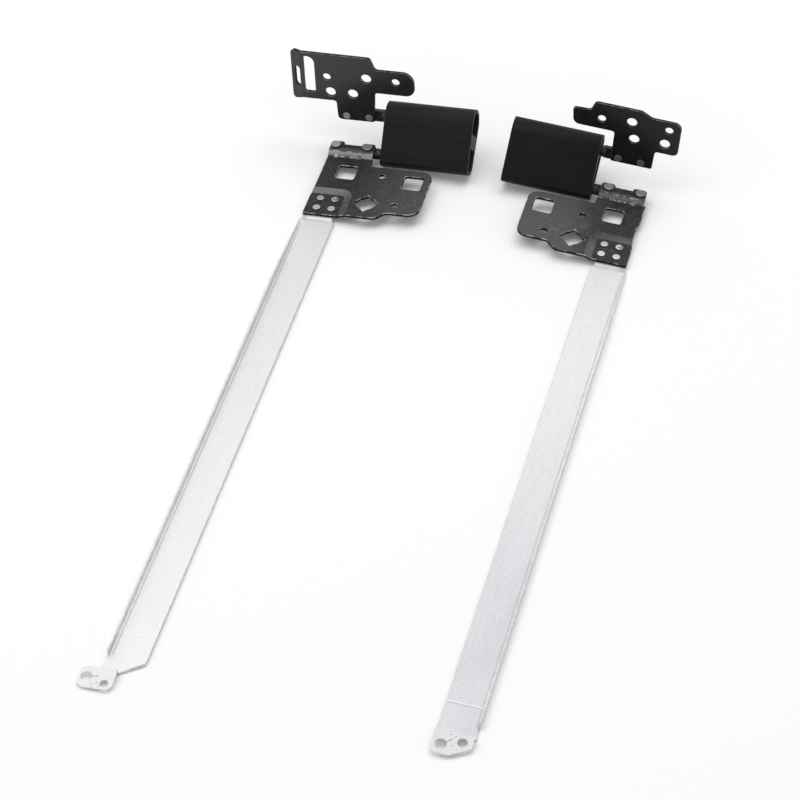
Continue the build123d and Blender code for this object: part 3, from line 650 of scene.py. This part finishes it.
def dressed(node, shell, materials, rounding, area, curved, segments=2, plain=None):
    # materials by area, with "edge" for the rounded edges; curved areas are shaded smooth
    side = node.split("_")[0]
    order = list(materials)
    for face in shell.faces:
        face.material_index = order.index(area(face))
    weights = shell.edges.layers.float.new("bevel_weight_edge")
    for edge in shell.edges:
        middle = toHinge[side] @ ((edge.verts[0].co + edge.verts[1].co) / 2)
        kept = plain is not None and plain(middle)
        edge[weights] = 1.0 if edge.calc_face_angle(0.0) > sharpAbove and not kept else 0.0
    mesh = bpy.data.meshes.new(node + "_dressed")
    shell.to_mesh(mesh)
    shell.free()
    for label in order:
        mesh.materials.append(finishes[materials[label]])
    piece = link(node + "_dressed", mesh)
    bevel = piece.modifiers.new("edges", "BEVEL")
    bevel.width = rounding * mm
    bevel.segments = segments
    bevel.limit_method = "WEIGHT"
    bevel.use_clamp_overlap = False
    bevel.loop_slide = False  # even widths, also where flat edges run off at a slant
    bevel.material = order.index("edge")
    plainMesh(piece)
    for polygon in piece.data.polygons:
        polygon.use_smooth = order[polygon.material_index] in curved
    return piece


plateLugs = {"at": (3.35, 9.25), "halfWidth": 0.6, "from": 23.6, "to": 25.2, "above": 0.12}
plateAreas = {"wallBelow": 0.25, "flatAbove": 0.985, "riserBehind": 20.0}
flatAbove = {"bracket": 0.6, "strip": 0.3, "coverEnd": 0.9}  # how squarely a face looks out of its sheet
packedEdges = {  # zones where edges stay as packed, from and to
    "shelfCorner": {"x": (12.7, 13.4), "y": (21.0, 25.4)},
    "postBefore": -6.9,
    "flangeWithin": 1.3, "flangeEnds": ((-3.2, -1.0), (-167.0, -163.5)),
    "tabBefore": -168.5,
}


def plateArea(side):
    def area(face):
        normal = axes[side].transposed() @ face.normal
        spot = toHinge[side] @ face.calc_center_median()
        beside = min(abs(spot.x - lug) for lug in plateLugs["at"])
        behind = plateLugs["from"] < spot.y < plateLugs["to"]
        if beside < plateLugs["halfWidth"] and behind and spot.z > plateLugs["above"]:
            return "lug"
        if abs(normal.z) < plateAreas["wallBelow"]:
            return "wall"
        if abs(normal.z) > plateAreas["flatAbove"]:
            return "face"
        return "riser" if spot.y > plateAreas["riserBehind"] else "band"
    return area


def between(value, ends):
    return ends[0] < value < ends[1]


def plateStep(spot):
    corner = packedEdges["shelfCorner"]
    return between(spot.x, corner["x"]) and between(spot.y, corner["y"])


def bracketPost(spot):
    return spot.x < packedEdges["postBefore"]


def stripBend(spot):
    atEnd = any(between(spot.y, ends) for ends in packedEdges["flangeEnds"])
    return (spot.x < packedEdges["flangeWithin"] and atEnd) or spot.y < packedEdges["tabBefore"]


def bracketArea(face):
    return "face" if abs(face.normal.y) > flatAbove["bracket"] else "wall"


def stripArea(face):
    return "face" if abs(face.normal.z) > flatAbove["strip"] else "wall"


def coverArea(face):
    return "end" if abs(face.normal.x) > flatAbove["coverEnd"] else "round"


stripCrease = {
    "left": {"at": -157.5, "depth": 0.025},
    "right": {"at": -159.9, "depth": 0.07},
    "both": {"halfWidth": 0.45, "onLine": 0.01, "upperFace": (0.3, 0.8)},  # heights above the underside
}


def creasedStrip(side):
    # a faint fold line across the strip, near its tab
    shell = weldedCopy(side + "_lid_strip")
    crease = {**stripCrease["both"], **stripCrease[side]}
    for step in (-1, 0, 1):
        point = hinge[side] @ Vector((0, crease["at"] + step * crease["halfWidth"], 0))
        bmesh.ops.bisect_plane(
            shell, geom=shell.verts[:] + shell.edges[:] + shell.faces[:],
            plane_co=point, plane_no=axes[side].col[1],
        )
    crossing = [v for v in shell.verts if abs((toHinge[side] @ v.co).y - crease["at"]) < crease["onLine"]]
    level = min((toHinge[side] @ v.co).z for v in crossing)
    for vertex in crossing:
        if between((toHinge[side] @ vertex.co).z - level, crease["upperFace"]):
            vertex.co -= axes[side].col[2] * crease["depth"] * mm
    return shell


sheetRounding = {"plate": 0.13, "bracket": 0.14, "strip": 0.07, "cover": 0.16}
for side in sides:
    node = side + "_lid_plate"
    areas = {
        "face": side + "LidPlate", "edge": "plateEdge", "wall": "cutWall", "lug": "lug",
        "band": side + "Band", "riser": side + "Riser",
    }
    piece = dressed(
        node, weldedCopy(node), areas, sheetRounding["plate"], plateArea(side), ("edge", "wall"),
        plain=plateStep,
    )
    handOver(piece, node, "lids")
    node = side + "_base_bracket"
    areas = {"face": side + "Bracket", "edge": "bracketEdge", "wall": "cutWall"}
    piece = dressed(
        node, weldedCopy(node), areas, sheetRounding["bracket"], bracketArea, ("edge", "wall"),
        plain=bracketPost if side == "left" else None,
    )
    handOver(piece, node, side + "_base")
    node = side + "_cover"
    areas = {"round": side + "Cover", "end": side + "Cover", "edge": "coverEdge"}
    piece = dressed(node, weldedCopy(node), areas, sheetRounding["cover"], coverArea, ("round", "edge"), 3)
    handOver(piece, node, side + "_cover")
    node = side + "_lid_strip"
    areas = {"face": side + "Strip", "edge": "stripEdge", "wall": "stripWall"}
    piece = dressed(
        node, creasedStrip(side), areas, sheetRounding["strip"], stripArea, ("edge", "wall"), plain=stripBend
    )
    handOver(piece, node, "lids")
print("sheet pieces dressed")


# rivets: one node tree, set for each group

rivetInputs = {
    "Head Radius": 1.0, "Head Height": 0.4, "Rim": 0.1, "Dimple": 0.05, "Length": 2.0,
    "Shank Radius": 0.7, "Tail Radius": 1.0, "Tail Height": 0.25, "Uneven": 0.02, "Dented": -1.0,
}
rivetMesh = {
    "headSides": 36, "headSteps": 3, "headRings": 9, "shankSides": 24, "tailSides": 28, "tailTaper": 0.8,
    "rimFrom": (0.8, 1.0), "dimpleWithin": (0.6, 0.2),  # in head radii
    "dentScale": 900.0, "seed": 5,
}
footWithin = 0.02  # of the lowest point


def rivetTree(material):
    tree = bpy.data.node_groups.new("rivetHeads", "GeometryNodeTree")
    tree.interface.new_socket("Geometry", in_out="INPUT", socket_type="NodeSocketGeometry")
    keys = {}
    for label, value in rivetInputs.items():
        socket = tree.interface.new_socket(label, in_out="INPUT", socket_type="NodeSocketFloat")
        socket.default_value = value
        keys[label] = socket.identifier
    facing = tree.interface.new_socket("Facing", in_out="INPUT", socket_type="NodeSocketVector")
    keys["Facing"] = facing.identifier
    tree.interface.new_socket("Geometry", in_out="OUTPUT", socket_type="NodeSocketGeometry")

    graph = Graph(tree)
    entry = tree.nodes.new("NodeGroupInput")
    given = {socket.name: Wire(graph, socket) for socket in entry.outputs if socket.name}
    radius, height = given["Head Radius"], given["Head Height"]

    def keep(geometry, name, value, kind="FLOAT"):
        settings = {"data_type": kind, "domain": "POINT"}
        sockets = {"Geometry": geometry, "Name": name, "Value": value}
        return graph.node("GeometryNodeStoreNamedAttribute", settings, sockets)

    def raised(geometry, z):
        shift = graph.node("ShaderNodeCombineXYZ", sockets={"Z": z})
        return graph.node("GeometryNodeTransform", sockets={"Geometry": geometry, "Translation": shift})

    # head: a disc of rings, lowered by a curve of the distance from its middle
    head = graph.node(
        "GeometryNodeMeshCylinder",
        {"fill_type": "NGON"},
        {
            "Vertices": rivetMesh["headSides"], "Side Segments": rivetMesh["headSteps"],
            "Fill Segments": rivetMesh["headRings"], "Radius": radius, "Depth": height,
        },
        out="Mesh",
    )
    place = graph.node("GeometryNodeInputPosition")
    x, y, z = graph.parts(place)
    share = graph.reach(x, y) / radius
    lift = z / height + 0.5  # 0 at the seat, 1 on top
    rim = graph.ease(share, *rivetMesh["rimFrom"]) * given["Rim"]
    dimple = graph.ease(share, *rivetMesh["dimpleWithin"]) * given["Dimple"]
    drop = (rim + dimple) * lift
    headPlace = graph.node("ShaderNodeCombineXYZ", sockets={"X": x / radius, "Y": y / radius, "Z": lift})
    head = keep(head, "headPlace", headPlace, "FLOAT_VECTOR")
    sunk = graph.node("ShaderNodeCombineXYZ", sockets={"Z": height * 0.5 - drop})
    head = graph.node("GeometryNodeSetPosition", sockets={"Geometry": head, "Offset": sunk})
    shank = graph.node(
        "GeometryNodeMeshCylinder",
        {"fill_type": "NGON"},
        {"Vertices": rivetMesh["shankSides"], "Radius": given["Shank Radius"], "Depth": given["Length"]},
        out="Mesh",
    )
    tail = graph.node(
        "GeometryNodeMeshCone",
        {"fill_type": "NGON"},
        {
            "Vertices": rivetMesh["tailSides"], "Radius Top": given["Tail Radius"],
            "Radius Bottom": given["Tail Radius"] * rivetMesh["tailTaper"], "Depth": given["Tail Height"],
        },
        out="Mesh",
    )
    joined = tree.nodes.new("GeometryNodeJoinGeometry")
    tailDrop = 0.0 - given["Length"] - given["Tail Height"]
    for part in (raised(tail, tailDrop), raised(shank, given["Length"] * -0.5), head):
        tree.links.new(part.socket, joined.inputs[0])

    # seats: one of them marked for a dent that is only painted, each struck by its own amount
    index = graph.node("GeometryNodeInputIndex")
    away = abs(index - given["Dented"])
    seats = keep(given["Geometry"], "dented", 1.0 - away.maths("MINIMUM", away, 1.0))
    chance = {2: 0.0, 3: 1.0, "Seed": rivetMesh["seed"]}
    amount = graph.node("FunctionNodeRandomValue", {"data_type": "FLOAT"}, chance, out=1)
    seats = keep(seats, "struck", amount)
    turn = graph.node("FunctionNodeAlignRotationToVector", {"axis": "Z"}, {"Vector": given["Facing"]})
    spread = graph.node(
        "GeometryNodeInstanceOnPoints",
        sockets={"Points": seats, "Instance": Wire(graph, joined.outputs[0]), "Rotation": turn},
    )
    real = graph.node("GeometryNodeRealizeInstances", sockets={"Geometry": spread})
    dent = graph.node(
        "ShaderNodeTexNoise",
        sockets={"Vector": place, "Scale": rivetMesh["dentScale"], "Detail": 1.0},
        out="Color",
    )
    centred = graph.node("ShaderNodeVectorMath", {"operation": "SUBTRACT"}, {0: dent, 1: (0.5, 0.5, 0.5)})
    kept = graph.node(
        "GeometryNodeInputNamedAttribute", {"data_type": "FLOAT_VECTOR"}, {"Name": "headPlace"}
    )
    amount = graph.parts(kept)[2] * given["Uneven"]  # nothing at the seat and below it
    push = graph.node("ShaderNodeVectorMath", {"operation": "SCALE"}, {0: centred, "Scale": amount})
    uneven = graph.node("GeometryNodeSetPosition", sockets={"Geometry": real, "Offset": push})
    smooth = graph.node("GeometryNodeSetShadeSmooth", sockets={"Geometry": uneven})
    painted = graph.node("GeometryNodeSetMaterial", sockets={"Geometry": smooth, "Material": material})
    leave = tree.nodes.new("NodeGroupOutput")
    tree.links.new(painted.socket, leave.inputs[0])
    return tree, keys


def rivetSeats(node, facing):
    # foot and height of each loose solid, along the way that the heads face
    shell = weldedCopy(node)
    left = set(shell.verts)
    seats = []
    while left:
        island = [left.pop()]
        for vertex in island:
            for edge in vertex.link_edges:
                other = edge.other_vert(vertex)
                if other in left:
                    left.remove(other)
                    island.append(other)
        levels = [facing.dot(v.co) for v in island]
        foot = [v.co for v, level in zip(island, levels) if level < min(levels) + footWithin * mm]
        seats.append((sum(foot, Vector()) / len(foot), max(levels) - min(levels)))
    shell.free()
    return sorted(seats, key=lambda seat: [round(v, 5) for v in seat[0]])


def rivets(node, facing, material, setup):
    seats = rivetSeats(node, facing)
    seatLevel = seats[0][1] - setup["Head Height"] * mm
    mesh = bpy.data.meshes.new(node + "_seats")
    mesh.from_pydata([foot + facing * seatLevel for foot, _ in seats], [], [])
    piece = link(node + "_struck", mesh)
    tree, keys = rivetTree(finishes[material])
    modifier = piece.modifiers.new("heads", "NODES")
    modifier.node_group = tree
    for label, value in setup.items():
        modifier[keys[label]] = value * mm
    modifier[keys["Length"]] = seatLevel - setup["Tail Height"] * mm
    dented = len(seats) - 1 if len(seats) > 2 else -1  # the last of four strip rivets, none of two
    modifier[keys["Dented"]] = float(dented)
    modifier[keys["Facing"]] = tuple(facing)
    plainMesh(piece)
    return piece


rivetShank = {"Shank Radius": 0.68, "Tail Radius": 1.0, "Tail Height": 0.25}
rivetHead = {
    "strip": {"Head Radius": 1.05, "Head Height": 0.4, "Rim": 0.14, "Dimple": 0.02, "Uneven": 0.07},
    "lid": {"Head Radius": 1.4, "Head Height": 0.6, "Rim": 0.16, "Dimple": 0.02, "Uneven": 0.05},
    "base": {"Head Radius": 1.05, "Head Height": 0.4, "Rim": 0.14, "Dimple": 0.03, "Uneven": 0.05},
}
for side in sides:
    upward = axes[side].col[2]
    for label, facing, body, slot in (
        ("strip", upward, "lids", "bright_rivet"),
        ("lid", upward, "lids", "dark_rivet"),
        ("base", Vector((0, -1, 0)), side + "_base", "dark_rivet"),
    ):
        node = side + "_" + label + "_rivets"
        piece = rivets(node, facing, side + label, {**rivetHead[label], **rivetShank})
        handOver(piece, node, body)
print("rivets struck")


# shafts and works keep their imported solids

for part in frame["record"]["subparts"]:
    if part["material_slot"] in ("shaft", "works"):
        for slot in nodes[part["node"]].material_slots:
            slot.material = finishes[part["material_slot"]]


# floor, light and camera

stageSetup = {
    "roomColour": (1, 1, 1, 1),
    "floorSize": 6.0,
    "floorColour": (0.97, 0.97, 0.97, 1.0),
    "floorGlow": 0.06,
    "fill": 0.56,
    "keyPlace": (-0.1, 0.1, 0.9),
    "keyAim": (0.0, 0.0, 0.0),
    "keySize": (1.5, 0.55),
    "keyPower": 5.0,
}


def seenRays(graph):
    rays = [
        graph.node("ShaderNodeLightPath", out=label)
        for label in ("Is Camera Ray", "Is Glossy Ray", "Is Transmission Ray")
    ]
    seen = rays[0].maths("MAXIMUM", rays[0], rays[1])
    return seen.maths("MAXIMUM", seen, rays[2])


def layFloor(setup):
    bpy.ops.mesh.primitive_plane_add(size=setup["floorSize"])
    floor = bpy.context.object
    floor.name = "floor"
    material = bpy.data.materials.new("paleFloor")
    material.use_nodes = True
    tree = material.node_tree
    tree.nodes.clear()
    graph = Graph(tree)
    paper = graph.node("ShaderNodeBsdfDiffuse", sockets={"Color": setup["floorColour"]})
    glow = graph.node(
        "ShaderNodeEmission", sockets={"Strength": seenRays(graph) * setup["floorGlow"]}
    )
    both = graph.node("ShaderNodeAddShader", sockets={0: paper, 1: glow})
    leave = tree.nodes.new("ShaderNodeOutputMaterial")
    tree.links.new(both.socket, leave.inputs["Surface"])
    floor.data.materials.append(material)


def lightRoom(setup):
    world = bpy.data.worlds.new("whiteRoom")
    bpy.context.scene.world = world
    world.use_nodes = True
    tree = world.node_tree
    tree.nodes.clear()
    graph = Graph(tree)
    colour = setup["roomColour"]
    room = graph.node("ShaderNodeBackground", sockets={"Color": colour, "Strength": setup["fill"]})
    shown = graph.node("ShaderNodeBackground", sockets={"Color": colour, "Strength": 1.0})
    both = graph.node("ShaderNodeMixShader", sockets={0: seenRays(graph), 1: room, 2: shown})
    leave = tree.nodes.new("ShaderNodeOutputWorld")
    tree.links.new(both.socket, leave.inputs["Surface"])
    key = bpy.data.lights.new("softbox", "AREA")
    key.shape = "RECTANGLE"
    key.size, key.size_y = setup["keySize"]
    key.energy = setup["keyPower"]
    lamp = bpy.data.objects.new("softbox", key)
    lamp.location = setup["keyPlace"]
    aim = Vector(setup["keyAim"]) - Vector(setup["keyPlace"])
    lamp.rotation_euler = aim.to_track_quat("-Z", "Y").to_euler()
    bpy.context.scene.collection.objects.link(lamp)


cameraSetup = {
    "azimuth": 13.128,
    "elevation": 40.909,
    "roll": 1.241,
    "distance": 870.88,  # millimetres
    "sideways": 3.312,
    "upwards": 3.283,
    "focalPixels": 3610.7,
    "imagePixels": 800,
    "sensor": 36.0,
    "clipStart": 10.0,  # millimetres
}


def placeCamera(setup):
    azimuth, elevation, roll = (math.radians(setup[key]) for key in ("azimuth", "elevation", "roll"))
    right = Vector((math.cos(azimuth), math.sin(azimuth), 0))
    level = math.cos(elevation)
    forward = Vector((-math.sin(azimuth) * level, math.cos(azimuth) * level, -math.sin(elevation)))
    up = right.cross(forward)
    place = (right * setup["sideways"] + up * setup["upwards"] - forward * setup["distance"]) * mm
    rolledRight = right * math.cos(roll) + up * math.sin(roll)
    rolledUp = up * math.cos(roll) - right * math.sin(roll)
    data = bpy.data.cameras.new("camera")
    data.sensor_width = setup["sensor"]
    data.lens = setup["focalPixels"] * setup["sensor"] / setup["imagePixels"]
    data.clip_start = setup["clipStart"] * mm
    camera = bpy.data.objects.new("camera", data)
    turned = Matrix((rolledRight, rolledUp, -forward)).transposed().to_4x4()
    camera.matrix_world = Matrix.Translation(place) @ turned
    bpy.context.scene.collection.objects.link(camera)
    bpy.context.scene.camera = camera


layFloor(stageSetup)
lightRoom(stageSetup)
placeCamera(cameraSetup)
bpy.context.scene.view_settings.view_transform = "Standard"
print("stage set")
